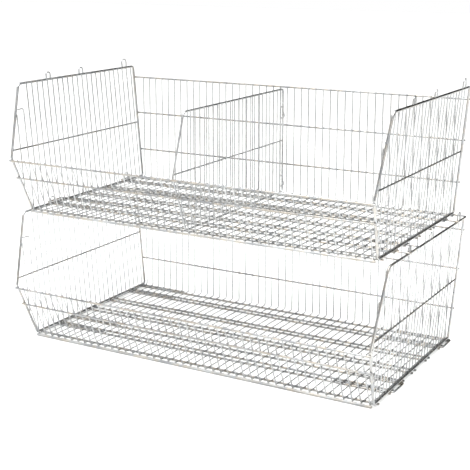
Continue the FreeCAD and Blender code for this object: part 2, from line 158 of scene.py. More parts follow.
def size(name, millimetres, description):
    """A length that a user may change, given in millimetres and kept in metres."""
    return FloatProperty(name=name, description=description, default=millimetres * MM,
                         min=0.0, precision=4, subtype="DISTANCE", unit="LENGTH")


def linear(hex_colour):
    """A colour written as sRGB hex, as the linear RGB that shaders and lights take."""
    parts = [int(hex_colour[i:i + 2], 16) / 255 for i in (1, 3, 5)]
    return tuple(c / 12.92 if c <= 0.04045 else ((c + 0.055) / 1.055) ** 2.4 for c in parts)


def colour(name, hex_colour, description):
    """A colour that a user may change."""
    return FloatVectorProperty(name=name, description=description, default=linear(hex_colour),
                               min=0.0, max=1.0, subtype="COLOR", size=3)


class BasketSizes(bpy.types.PropertyGroup):
    """Sizes of one basket, from wire centre to wire centre unless it says a diameter."""

    floor_width: size("Floor width", 939.5, "Between the side panels, at the floor")
    front_reach: size("Front reach", 250.0, "Floor centre to a side panel's front corner")
    back_reach: size("Back reach", 241.0, "Floor centre to a side panel's back upright")
    panel_height: size("Panel height", 316.5, "Bottom wire to top wire of a side panel")
    flare: size("Flare", 27.0, "How far the top of a side panel stands out")
    gate_height: size("Front height", 138.75, "Rise of the sloping front")
    gate_reach: size("Front lean", 56.0, "How far the sloping front leans forward")
    brow_reach: size("Brow reach", 3.3, "Top front corner ahead of the floor's corner")
    frame_bend: size("Frame bend", 8.0, "Bend radius of a side frame")
    brow_bend: size("Brow bend", 14.0, "Bend radius of a side frame's top front corner")
    mesh_bend: size("Mesh bend", 5.0, "Bend radius of the mesh wires")
    frame_wire: size("Frame wire", 6.5, "Diameter of side frames and front edge")
    rail_wire: size("Rail wire", 5.0, "Diameter of the rails")
    mid_wire: size("Mid wire", 4.5, "Diameter of the wire across a side panel")
    hook_wire: size("Hook wire", 4.0, "Diameter of the stacking hooks")
    fine_wire: size("Mesh wire", 3.0, "Diameter of the mesh wires")
    weld_overhang: size("Weld overhang", 1.5, "How far a rail runs past a side frame")
    cross_pitch: size("Mesh pitch", 21.0, "Between the mesh wires")
    cross_count: IntProperty(name="Mesh wires", description="How many mesh wires", default=45)
    side_pitch: size("Side pitch", 20.4, "Between the uprights of a side panel")
    side_count: IntProperty(name="Uprights", description="Full-height uprights", default=23)
    mid_height: size("Mid height", 156.75, "Mid wire above the bottom wire")
    nose_inset: size("Nose inset", 25.0, "Short upright ahead of the floor's corner")
    turned_room: size("Turned room", 11.2, "Turned upright above the short one")
    top_rail_drop: size("Top rail drop", 30.75, "Back's top rail below the top wires")
    high_rail: size("Middle back rail", 183.75, "Above the bottom wire")
    low_rail: size("Low back rail", 77.75, "Above the bottom wire")
    gate_top_rail: size("Top front rail", 145.0, "Up the slope from the floor")
    gate_low_rail: size("Low front rail", 95.5, "Up the slope from the floor")
    pair_spacing: size("Pair spacing", 21.0, "Between two paired floor rails")
    loop_spacing: size("Loop spacing", 64.0, "Between the legs of a stacking loop")
    loop_length: size("Loop length", 148.0, "From the ends of a loop's legs to its bar")
    loop_reach: size("Loop reach", 6.75, "Bar of a pulled-out loop beyond the top wire")
    loop_play: size("Loop play", 0.5, "Under the mesh and at the rails' ends")
    loop_bend: size("Loop bend", 8.0, "Bend radius of a stacking loop")
    hook_width: size("Hook width", 16.0, "Between the legs of a stacking hook")
    hook_rise: size("Hook rise", 18.0, "Top of a stacking hook above the top wire")
    rear_hook_width: size("Rear hook width", 20.0, "Between the legs of a rear hook")
    rear_hook_rise: size("Rear hook rise", 23.5, "Top of a rear hook above the top wire")


class DividerSizes(bpy.types.PropertyGroup):
    """Sizes of the lift-out divider."""

    gap: size("Play", 0.35, "Between the divider and the basket it stands in")
    drop: size("Drop", 35.5, "Top of the divider below the side panels' top wires")
    outline_wire: size("Outline wire", 5.0, "Diameter of the divider's outline")
    cross_wire: size("Cross wire", 4.0, "Diameter of the wire across it")
    cross_height: size("Cross height", 143.0, "Cross wire above the basket's bottom wire")
    hook_depth: size("Hook depth", 20.5, "How far a hook reaches behind the outline")
    hook_height: size("Hook height", 30.0, "Height of a hook")
    high_hook_drop: size("High hook drop", 48.0, "Upper hook below the divider's top")
    low_hook_top: size("Low hook top", 47.0, "Lower hook above the bottom wire")


class BasketFinish(bpy.types.PropertyGroup):
    """Colours of the plated wire and its welds."""

    plate: colour("Plate", "#BEC0C1", "Bright zinc")
    plate_deep: colour("Deep plate", "#9EA0A2", "Zinc where it lies thicker")
    plate_tint: colour("Tint", "#BFB29E", "Faint straw tint of the passivated film")
    weld: colour("Weld", "#8C8D8C", "Zinc over a weld, dulled")


class StudioSettings(bpy.types.PropertyGroup):
    """Camera, floor and lights."""

    lens: FloatProperty(name="Lens", description="Focal length in mm", default=82.9, min=1.0)
    floor: colour("Floor", "#F7F7F6", "Pale studio floor")
    sky: FloatProperty(name="Sky", description="Wide overhead diffuser", default=3.2)
    key_power: FloatProperty(name="Key", description="Overhead softbox in watts", default=70.0)
    fill_power: FloatProperty(name="Fill", description="Side softboxes in watts", default=16.0)


# ---------------------------------------------------------------- where things are


class Basket:
    """Works out where the wires of the lower basket lie."""

    def __init__(self, sizes):
        self.s = sizes
        self.lean = math.atan2(sizes.flare, sizes.panel_height)
        self.slope = Vector((0, -sizes.gate_reach, sizes.gate_height)).normalized()
        self.outward = Vector((0, -sizes.gate_height, -sizes.gate_reach)).normalized()
        self.frame_z = sizes.rail_wire + sizes.frame_wire / 2
        self.mesh_out = (sizes.frame_wire - sizes.fine_wire) / 2
        self.rail_out = (sizes.frame_wire + sizes.rail_wire) / 2

    def half_span(self, height):
        """Half the width between the side panels, at a height above their bottom wires."""
        return self.s.floor_width / 2 + self.s.flare * height / self.s.panel_height

    def on_panel(self, side, y, height, inset=0.0):
        """A point of a side panel, `inset` towards the inside and square to the panel."""
        return Vector((side * (self.half_span(height) - inset * math.cos(self.lean)), y,
                       self.frame_z + height + inset * math.sin(self.lean)))

    def up_panel(self, side):
        """The direction up a side panel."""
        return Vector((side * math.sin(self.lean), 0, math.cos(self.lean)))

    def into_basket(self, side):
        """The direction square to a side panel, towards the inside."""
        return Vector((-side * math.cos(self.lean), 0, math.sin(self.lean)))

    def on_front(self, along, out, x=0.0):
        """A point up the sloping front, and `out` of it."""
        foot = Vector((x, -self.s.front_reach, self.frame_z))
        return foot + self.slope * along + self.outward * out

    def floor_corner(self, out, x=0.0):
        """Where floor and sloping front meet, `out` of both."""
        length = math.hypot(self.s.gate_reach, self.s.gate_height)
        y = self.s.front_reach + out * (length - self.s.gate_reach) / self.s.gate_height
        return Vector((x, -y, self.frame_z - out))

    def front_line(self, height):
        """How far ahead of the floor's centre a side panel's front edge is, at a height."""
        s = self.s
        above = (s.panel_height - height) / (s.panel_height - s.gate_height)
        brow = s.brow_reach + (s.gate_reach - s.brow_reach) * above
        return s.front_reach + min(brow, s.gate_reach * height / s.gate_height)

    def place(self, end, inset):
        """Y of a place so many millimetres in from the floor's front or back end."""
        inset *= MM
        return inset - self.s.front_reach if end == "front" else self.s.back_reach - inset

    def floor_rail_places(self):
        """Y of every floor rail, two for each pair."""
        places = []
        for name, (end, inset) in FLOOR_RAILS.items():
            y, half = self.place(end, inset), self.s.pair_spacing / 2
            places += [y - half, y + half] if name.endswith("pair") else [y]
        return places

    def rail_half(self, height):
        """Half the length of a rail, at a height."""
        return self.half_span(height) + self.s.frame_wire / 2 + self.s.weld_overhang

    def uprights(self):
        """Y of the first full upright, of the turned one and of the short one in the nose."""
        first = self.s.back_reach - self.s.side_pitch * self.s.side_count
        return first, first - self.s.side_pitch, -self.s.front_reach - self.s.nose_inset

    def nose_heights(self):
        """Where the short upright in the nose starts and ends."""
        s = self.s
        fall = (s.nose_inset - s.brow_reach) / (s.gate_reach - s.brow_reach)
        low = s.gate_height * s.nose_inset / s.gate_reach
        return low, s.panel_height - (s.panel_height - s.gate_height) * fall

    def front_bar_place(self):
        """The thick wire nests under the bend at the foot of the front."""
        s = self.s
        corner = self.floor_corner(self.mesh_out)
        quarter = math.atan2(s.gate_height, s.gate_reach) / 2
        arc_y = corner.y + s.mesh_bend * math.tan(quarter)
        reach = s.mesh_bend + (s.fine_wire + s.frame_wire) / 2
        drop = s.mesh_bend - self.mesh_out + self.frame_z - s.frame_wire / 2
        return Vector((0, arc_y - math.sqrt(reach ** 2 - drop ** 2), s.frame_wire / 2))


class Divider:
    """Works out where the divider's wires lie, half a mesh gap left of the middle."""

    def __init__(self, basket, sizes, rise):
        s = basket.s
        self.basket, self.s = basket, sizes
        self.x = -s.cross_pitch / 2
        self.lift = Vector((0, 0, rise))
        self.inset = sizes.outline_wire / 2 + sizes.gap + s.fine_wire / 2 - basket.mesh_out
        self.back = s.back_reach - self.inset
        self.top = s.panel_height - sizes.drop
        self.nose = basket.on_front(s.gate_top_rail, -self.inset, self.x)

    def point(self, y, height, out=0.0):
        """A point of the divider, `out` towards +X."""
        return Vector((self.x + out, y, self.basket.frame_z + height)) + self.lift

    def outline(self):
        """The corners of the divider's bent outline."""
        basket = self.basket
        brow = -basket.s.front_reach - basket.s.brow_reach
        return [self.point(self.back, self.inset), self.point(self.back, self.top),
                self.point(brow, self.top), self.nose + self.lift,
                basket.floor_corner(-self.inset, self.x) + self.lift]

    def front_edge(self, height):
        """Y of the divider's front edge between its brow and its nose."""
        brow = -self.basket.s.front_reach - self.basket.s.brow_reach
        nose_height = self.nose.z - self.basket.frame_z
        return brow + (self.nose.y - brow) * (self.top - height) / (self.top - nose_height)


# ---------------------------------------------------------------- modelling steps


def pick(piece):
    """Select one object alone and make it active."""
    bpy.ops.object.select_all(action="DESELECT")
    piece.select_set(True)
    bpy.context.view_layer.objects.active = piece


def draw_out(step):
    """Extrude what is selected along a straight run."""
    bpy.ops.mesh.extrude_region_move(TRANSFORM_OT_translate={"value": step})


def turn_corner(centre, axis, angle):
    """Spin what is selected round the inside of a bend."""
    steps = max(FEWEST_STEPS, round(math.degrees(angle) / BEND_STEP))
    bpy.ops.mesh.spin(steps=steps, angle=angle, center=centre, axis=axis)


def rounded_corner(before, corner, after, bend):
    """Where a bend starts and ends, its centre, its axis and the angle it turns through."""
    into = (before - corner).normalized()
    away = (after - corner).normalized()
    half = into.angle(away) / 2
    centre = corner + (into + away).normalized() * (bend / math.sin(half))
    cut = bend / math.tan(half)
    axis = into.cross(away).normalized()
    return corner + into * cut, corner + away * cut, centre, axis, math.pi - 2 * half


def draw_wire(name, corners, bends, diameter, faces=WIRE_FACES, closed=False):
    """A round wire: a disc drawn out along straight runs and spun round the bends between.

    An open wire has both ends sheared square, with their edges just broken.
    """
    count = len(corners)
    rounded = range(count) if closed else range(1, count - 1)
    turns = [rounded_corner(corners[i - 1], corners[i], corners[(i + 1) % count], bend)
             for bend, i in zip(bends, rounded)]
    start = (corners[-1] + corners[0]) / 2 if closed else corners[0]
    heading = ((corners[0] if closed else corners[1]) - start).normalized()
    chamfer = 0.0 if closed else diameter * CUT_EDGE
    bpy.ops.object.select_all(action="DESELECT")
    bpy.ops.mesh.primitive_circle_add(
        vertices=faces, radius=diameter / 2 - chamfer,
        fill_type="NOTHING" if closed else "NGON", location=start,
        rotation=heading.to_track_quat("Z", "Y").to_euler())
    wire = bpy.context.active_object
    wire.name = wire.data.name = name
    bpy.ops.object.transform_apply(location=True, rotation=True, scale=True)
    bpy.ops.object.mode_set(mode="EDIT")
    bpy.ops.mesh.select_all(action="SELECT")
    here = start
    if not closed:
        draw_out(heading * chamfer)
        here = start + heading * chamfer
        widen(diameter / (diameter - 2 * chamfer), here)
    for entry, leave, centre, axis, angle in turns:
        draw_out(entry - here)
        turn_corner(centre, axis, angle)
        here = leave
    end = start if closed else corners[-1]
    heading = (end - here).normalized()
    draw_out(end - heading * chamfer - here)
    if closed:
        bpy.ops.mesh.select_all(action="SELECT")
        bpy.ops.mesh.remove_doubles(threshold=diameter * 0.01)
    else:
        draw_out(heading * chamfer)
        widen(1 - 2 * chamfer / diameter, end)
    bpy.ops.mesh.select_all(action="SELECT")
    bpy.ops.mesh.normals_make_consistent(inside=False)
    bpy.ops.object.mode_set(mode="OBJECT")
    bpy.ops.object.shade_smooth_by_angle(angle=math.radians(SMOOTH_ANGLE))
    return wire


def widen(factor, centre):
    """Scale what is selected about a point."""
    bpy.ops.transform.resize(value=(factor,) * 3, center_override=centre)


def repeat(piece, count, step):
    """A row of copies, made with an array and applied."""
    pick(piece)
    row = piece.modifiers.new("row", "ARRAY")
    row.use_relative_offset = False
    row.use_constant_offset = True
    row.constant_offset_displace = step
    row.count = count
    bpy.ops.object.modifier_apply(modifier=row.name)
    return piece


def copy_of(piece, name, move):
    """A copy with its own mesh, moved, with its place in its mesh."""
    pick(piece)
    bpy.ops.object.duplicate()
    copy = bpy.context.active_object
    copy.name = copy.data.name = name
    bpy.ops.transform.translate(value=move)
    bpy.ops.object.transform_apply(location=True, rotation=False, scale=False)
    return copy


def join(name, wires):
    """Several wires as one piece."""
    pick(wires[0])
    for wire in wires[1:]:
        wire.select_set(True)
    if len(wires) > 1:
        bpy.ops.object.join()
    wires[0].name = wires[0].data.name = name
    return wires[0]


def straight(name, start, end, diameter, faces=WIRE_FACES):
    """A straight wire between two points."""
    return draw_wire(name, [start, end], [], diameter, faces)


def across(name, half, y, z, diameter):
    """A straight wire along X, as long to the left as to the right."""
    return straight(name, Vector((-half, y, z)), Vector((half, y, z)), diameter)


def weld_row(centre, normal, width, height, count=1, step=(0, 0, 0)):
    """Weld metal squeezed out between two crossed wires: a flat bead, repeated along a wire."""
    bpy.ops.object.select_all(action="DESELECT")
    bpy.ops.mesh.primitive_uv_sphere_add(
        segments=8, ring_count=6, radius=0.5, location=centre, scale=(width, width, height),
        rotation=normal.to_track_quat("Z", "Y").to_euler())
    bead = bpy.context.active_object
    bpy.ops.object.transform_apply(location=True, rotation=True, scale=True)
    bpy.ops.object.mode_set(mode="EDIT")
    bpy.ops.mesh.select_all(action="SELECT")
    bpy.ops.transform.vertex_random(offset=height * BEAD_UNEVEN, seed=count)
    bpy.ops.object.mode_set(mode="OBJECT")
    bpy.ops.object.shade_smooth()
    return repeat(bead, count, step) if count > 1 else bead


def settle(piece, body, nodes, material):
    """Give a piece its material and the body it rides on, and hide the CAD node it stands for.
    """
    piece.data.materials.clear()
    piece.data.materials.append(material)
    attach(piece, body)
    if nodes:
        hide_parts(*nodes)


# ---------------------------------------------------------------- materials


def add_node(tree, kind, settings=None, **inputs):
    """Add a node, set its settings and fill its inputs with values or links."""
    node = tree.nodes.new(kind)
    for key, value in (settings or {}).items():
        setattr(node, key, value)
    for key, value in inputs.items():
        socket = node.inputs[int(key[1:])] if key[1:].isdigit() else node.inputs[
            key.replace("_", " ")]
        if isinstance(value, bpy.types.NodeSocket):
            tree.links.new(value, socket)
        else:
            socket.default_value = value
    return node


def ramp(tree, factor, stops):
    """A colour ramp between (place, colour) stops; a number stands for a grey."""
    node = add_node(tree, "ShaderNodeValToRGB", Fac=factor)
    elements = node.color_ramp.elements
    while len(elements) < len(stops):
        elements.new(0.5)
    for element, (place, value) in zip(elements, stops):
        element.position = place
        rgb = (value,) * 3 if isinstance(value, float) else tuple(value)
        element.color = (*rgb, 1.0)
    return node.outputs["Color"]


def new_material(name):
    """An empty node material."""
    material = bpy.data.materials.get(name) or bpy.data.materials.new(name)
    material.use_nodes = True
    material.node_tree.nodes.clear()
    return material, material.node_tree


def noise(tree, coordinates, millimetres, detail=2.0, roughness=0.5):
    """Noise whose features are about so many millimetres across."""
    node = add_node(tree, "ShaderNodeTexNoise", Vector=coordinates, Scale=1 / (millimetres * MM),
                    Detail=detail, Roughness=roughness)
    return node.outputs["Fac"]


def zinc_plate(wire):
    """Bright zinc electroplate over drawn steel wire, with a gloss for each wire and a painted
    shade that darkens each wire's grey.

    The plate lies unevenly, so its grey drifts over some centimetres and its gloss over a
    few millimetres. The passivated film tints it faintly straw. Drawing left fine scores,
    shown here about 0.7 mm apart, coarser than real, so that they can be seen.
    """
    finish = bpy.context.scene.basket_finish
    smooth, rough, straw, shade_level = PLATE_GLOSS_FILM_AND_PAINTED_SHADE[wire]
    material, tree = new_material(f"bright_zinc_on_{wire}_wire")
    place = add_node(tree, "ShaderNodeTexCoord").outputs["Object"]
    drift = noise(tree, place, GREY_DRIFT, detail=3.0)
    # Both plate greys are scaled by the wire's painted shade: darker copies of the same zinc for
    # the wires that fall darker in the light.
    deep = [channel * shade_level for channel in finish.plate_deep]
    light = [channel * shade_level for channel in finish.plate]
    grey = ramp(tree, drift, [(0.35, deep), (0.62, light)])
    film = ramp(tree, noise(tree, place, FILM_DRIFT), [(0.42, 0.0), (0.62, straw)])
    tinted = add_node(tree, "ShaderNodeMix", {"data_type": "RGBA"}, _0=film, _6=grey,
                      _7=(*finish.plate_tint, 1.0))
    cloud = ramp(tree, noise(tree, place, GLOSS_CLOUDS, detail=4.0, roughness=0.6),
                 [(0.3, smooth), (0.7, rough)])
    scores = add_node(tree, "ShaderNodeBump", Strength=0.25, Distance=SCORE_DEPTH,
                      Height=noise(tree, place, SCORES, detail=1.0))
    surface = add_node(tree, "ShaderNodeBsdfPrincipled", Base_Color=tinted.outputs[2],
                       Metallic=1.0, Roughness=cloud, Normal=scores.outputs["Normal"])
    add_node(tree, "ShaderNodeOutputMaterial", Surface=surface.outputs["BSDF"])
    return material


def weld_metal():
    """Zinc over resistance welds: duller and darker, because the plate takes poorly there."""
    finish = bpy.context.scene.basket_finish
    material, tree = new_material("zinc_over_welds")
    place = add_node(tree, "ShaderNodeTexCoord").outputs["Object"]
    dull = ramp(tree, noise(tree, place, WELD_CLOUDS, detail=3.0),
                [(0.3, finish.weld), (0.7, finish.plate_deep)])
    pits = noise(tree, place, WELD_PITS, detail=2.0)
    bump = add_node(tree, "ShaderNodeBump", Strength=0.5, Distance=PIT_DEPTH, Height=pits)
    surface = add_node(tree, "ShaderNodeBsdfPrincipled", Base_Color=dull, Metallic=0.9,
                       Roughness=ramp(tree, pits, [(0.3, 0.42), (0.7, 0.6)]),
                       Normal=bump.outputs["Normal"])
    add_node(tree, "ShaderNodeOutputMaterial", Surface=surface.outputs["BSDF"])
    return material


def rise_of_upper_basket():
    """How far the upper basket stands above the lower one."""
    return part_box("upper_floor_rails")[0].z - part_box("lower_floor_rails")[0].z


def settle_both(material, *pieces):
    """Settle the lower basket's pieces, and copy each to the upper basket.

    The welds are not in PIECES: they stand for no CAD node.
    """
    for piece in pieces:
        name = piece.name.removeprefix("lower_")
        node, slot = PIECES.get(name, (None, "zinc_plated_rail"))
        upper = copy_of(piece, f"upper_{name}", (0, 0, rise_of_upper_basket()))
        for basket, copy in (("lower", piece), ("upper", upper)):
            settle(copy, f"{basket}_basket", [f"{basket}_{node}"] if node else [], material)


# ---------------------------------------------------------------- operators


class BASKET_OT_side_frames(bpy.types.Operator):
    """Bend the four thick side frames"""

    bl_idname = "basket.side_frames"
    bl_label = "Side frames"

    def execute(self, context):
        s = context.scene.basket_sizes
        basket = Basket(s)
        bends = [s.frame_bend, s.frame_bend, s.brow_bend, s.frame_bend, s.frame_bend]
        frames = []
        for name, side in SIDES.items():
            corners = [basket.on_panel(side, y, height) for y, height in (
                (s.back_reach, 0), (s.back_reach, s.panel_height),
                (-s.front_reach - s.brow_reach, s.panel_height),
                (-s.front_reach - s.gate_reach, s.gate_height), (-s.front_reach, 0))]
            frames.append(draw_wire(f"lower_{name}_frame", corners, bends, s.frame_wire,
                                    faces=FRAME_FACES, closed=True))
        settle_both(zinc_plate("frame"), *frames)
        return {"FINISHED"}


class BASKET_OT_side_wires(bpy.types.Operator):
    """Fill the side frames with their uprights and mid wires"""

    bl_idname = "basket.side_wires"
    bl_label = "Side wires"

    def execute(self, context):
        s = context.scene.basket_sizes
        basket = Basket(s)
        inset = (s.frame_wire + s.fine_wire) / 2
        first, turned, nose = basket.uprights()
        low, high = basket.nose_heights()
        turn = high + s.turned_room
        uprights, mid_wires = [], []
        for name, side in SIDES.items():
            row = straight("upright", basket.on_panel(side, first, 0, inset),
                           basket.on_panel(side, first, s.panel_height, inset), s.fine_wire,
                           FINE_FACES)
            repeat(row, s.side_count, (0, s.side_pitch, 0))
            bent = draw_wire("turned", [
                basket.on_panel(side, turned, 0, inset),
                basket.on_panel(side, turned, turn, inset),
                basket.on_panel(side, -basket.front_line(turn), turn, inset),
            ], [s.fine_wire * TURNED_BEND], s.fine_wire, FINE_FACES)
            short = straight("nose", basket.on_panel(side, nose, low, inset),
                             basket.on_panel(side, nose, high, inset), s.fine_wire,
                             FINE_FACES)
            uprights.append(join(f"lower_{name}_uprights", [row, bent, short]))
            mid_inset = (s.frame_wire - s.mid_wire) / 2
            front = -basket.front_line(s.mid_height) + s.frame_wire / 2 + MID_WIRE_PLAY
            back = s.back_reach - s.frame_wire / 2
            mid_wires.append(straight(f"lower_{name}_mid_wire",
                                      basket.on_panel(side, front, s.mid_height, mid_inset),
                                      basket.on_panel(side, back, s.mid_height, mid_inset),
                                      s.mid_wire))
        settle_both(zinc_plate("mesh"), *uprights)
        settle_both(zinc_plate("rail"), *mid_wires)
        return {"FINISHED"}


class BASKET_OT_stacking_hooks(bpy.types.Operator):
    """Bend the hooks that stand on the side frames"""

    bl_idname = "basket.stacking_hooks"
    bl_label = "Stacking hooks"

    def execute(self, context):
        s = context.scene.basket_sizes
        basket = Basket(s)
        pieces = []
        for name, side in SIDES.items():
            hooks = []
            for end, inset, kind in HOOKS:
                width, rise = getattr(s, f"{kind}_width"), getattr(s, f"{kind}_rise")
                foot = basket.on_panel(side, basket.place(end, inset), s.panel_height)
                up = basket.up_panel(side)
                half = Vector((0, width / 2, 0))
                low, top = foot + up * s.frame_wire / 2, foot + up * rise
                hooks.append(draw_wire("hook", [low - half, top - half, top + half, low + half],
                                       [width * HOOK_BEND] * 2, s.hook_wire))
            pieces.append(join(f"lower_{name}_hooks", hooks))
        settle_both(zinc_plate("mesh"), *pieces)
        return {"FINISHED"}


class BASKET_OT_mesh(bpy.types.Operator):
    """Bend the mesh wires that run down the front, under the floor and up the back"""

    bl_idname = "basket.mesh"
    bl_label = "Mesh"

    def execute(self, context):
        s = context.scene.basket_sizes
        basket = Basket(s)
        x = -s.cross_pitch * (s.cross_count - 1) / 2
        back = s.back_reach + basket.mesh_out
        top = basket.frame_z + s.panel_height - s.top_rail_drop + s.rail_wire / 2
        wire = draw_wire("lower_mesh", [
            basket.on_front(s.gate_top_rail + s.rail_wire / 2, basket.mesh_out, x),
            basket.floor_corner(basket.mesh_out, x),
            Vector((x, back, basket.frame_z - basket.mesh_out)),
            Vector((x, back, top)),
        ], [s.mesh_bend] * 2, s.fine_wire, FINE_FACES)
        repeat(wire, s.cross_count, (s.cross_pitch, 0, 0))
        settle_both(zinc_plate("mesh"), wire)
        return {"FINISHED"}


class BASKET_OT_rails(bpy.types.Operator):
    """Lay the straight rails under the floor, up the back and up the front"""

    bl_idname = "basket.rails"
    bl_label = "Rails"

    def execute(self, context):
        s = context.scene.basket_sizes
        basket = Basket(s)
        level = basket.frame_z - basket.rail_out
        places = basket.floor_rail_places()
        first = across("lower_floor_bars", basket.rail_half(0), places[0], level, s.rail_wire)
        rest = [copy_of(first, "floor_bar", (0, y - places[0], 0)) for y in places[1:]]
        pieces = [join("lower_floor_bars", [first] + rest)]
        back = s.back_reach + basket.rail_out
        top = s.panel_height - s.top_rail_drop
        rails = [across("back_bar", basket.rail_half(h), back, basket.frame_z + h, s.rail_wire)
                 for h in (top, s.high_rail, s.low_rail)]
        rails[0].name = rails[0].data.name = "lower_back_top_bar"
        pieces += [rails[0], join("lower_back_bars", rails[1:])]
        for name, along in (("top", s.gate_top_rail), ("low", s.gate_low_rail)):
            spot = basket.on_front(along, basket.rail_out)
            half = basket.rail_half(spot.z - basket.frame_z)
            pieces.append(across(f"lower_gate_{name}_bar", half, spot.y, spot.z, s.rail_wire))
        settle_both(zinc_plate("rail"), *pieces)
        spot = basket.front_bar_place()
        bar = across("lower_front_bar", s.floor_width / 2 - s.frame_wire / 2, spot.y, spot.z,
                     s.frame_wire)
        settle_both(zinc_plate("edge"), bar)
        return {"FINISHED"}


class BASKET_OT_stacking_loops(bpy.types.Operator):
    """Bend the hairpin loops: pushed in on the lower basket, pulled out on the upper one"""

    bl_idname = "basket.stacking_loops"
    bl_label = "Stacking loops"

    def execute(self, context):
        s = context.scene.basket_sizes
        basket = Basket(s)
        wire = s.rail_wire - s.loop_play
        pushed_in = basket.rail_half(0) + s.loop_play + wire / 2
        pulled_out = basket.half_span(s.panel_height) + s.loop_reach
        raised = rise_of_upper_basket() + s.loop_play + wire / 2
        plate = zinc_plate("rail")
        for place, end, inset in LOOPS:
            y = basket.place(end, inset)
            near, far = y - s.loop_spacing / 2, y + s.loop_spacing / 2
            for name, side in SIDES.items():
                for level, bar, z in (("lower", pushed_in, wire / 2),
                                      ("upper", pulled_out, raised)):
                    inner = bar - s.loop_length
                    loop = draw_wire(f"{level}_{place}_{name}_loop", [
                        Vector((side * inner, near, z)), Vector((side * bar, near, z)),
                        Vector((side * bar, far, z)), Vector((side * inner, far, z)),
                    ], [s.loop_bend] * 2, wire)
                    node = f"{level}_loop_{place}_{name}"
                    body = node if level == "lower" else "upper_basket"
                    settle(loop, body, [node], plate)
        return {"FINISHED"}


class BASKET_OT_divider(bpy.types.Operator):
    """Bend and fill the divider that stands in the upper basket"""

    bl_idname = "basket.divider"
    bl_label = "Divider"

    def execute(self, context):
        s, d = context.scene.basket_sizes, context.scene.divider_sizes
        basket = Basket(s)
        divider = Divider(basket, d, rise_of_upper_basket())
        bends = [s.frame_bend, s.frame_bend, s.brow_bend, s.frame_bend, s.frame_bend]
        outline = draw_wire("divider_outline", divider.outline(), bends, d.outline_wire,
                            faces=OUTLINE_FACES, closed=True)
        out = (d.outline_wire - d.cross_wire) / 2
        front = divider.front_edge(d.cross_height) + d.outline_wire / 2 + MID_WIRE_PLAY
        across_it = straight("divider_cross_bar",
                             divider.point(front, d.cross_height, out),
                             divider.point(divider.back - d.outline_wire / 2, d.cross_height,
                                           out), d.cross_wire)
        side = (d.outline_wire + s.fine_wire) / 2
        first = divider.back - s.side_pitch * s.side_count
        uprights = straight("divider_uprights", divider.point(first, divider.inset, side),
                            divider.point(first, divider.top, side), s.fine_wire,
                            FINE_FACES)
        repeat(uprights, s.side_count, (0, s.side_pitch, 0))
        clips = []
        heel, tail = divider.back - d.outline_wire, divider.back + d.hook_depth
        for top in (divider.top - d.high_hook_drop, d.low_hook_top):
            corners = [divider.point(y, height, -side) for y, height in (
                (heel, top), (divider.back + d.outline_wire / 2, top),
                (tail, top - d.hook_height), (heel, top - d.hook_height))]
            clips.append(draw_wire("clip", corners, [s.fine_wire * CLIP_BEND] * 2, s.fine_wire))
        clips = join("divider_clips", clips)
        fine = zinc_plate("mesh")
        for piece, node, slot in ((outline, "divider_frame", "zinc_plated_frame"),
                                  (across_it, "divider_mid_wire", "zinc_plated_wire"),
                                  (uprights, "divider_wires", "zinc_plated_wire"),
                                  (clips, "divider_hooks", "zinc_plated_wire")):
            settle(piece, "divider", [node], fine)
        return {"FINISHED"}


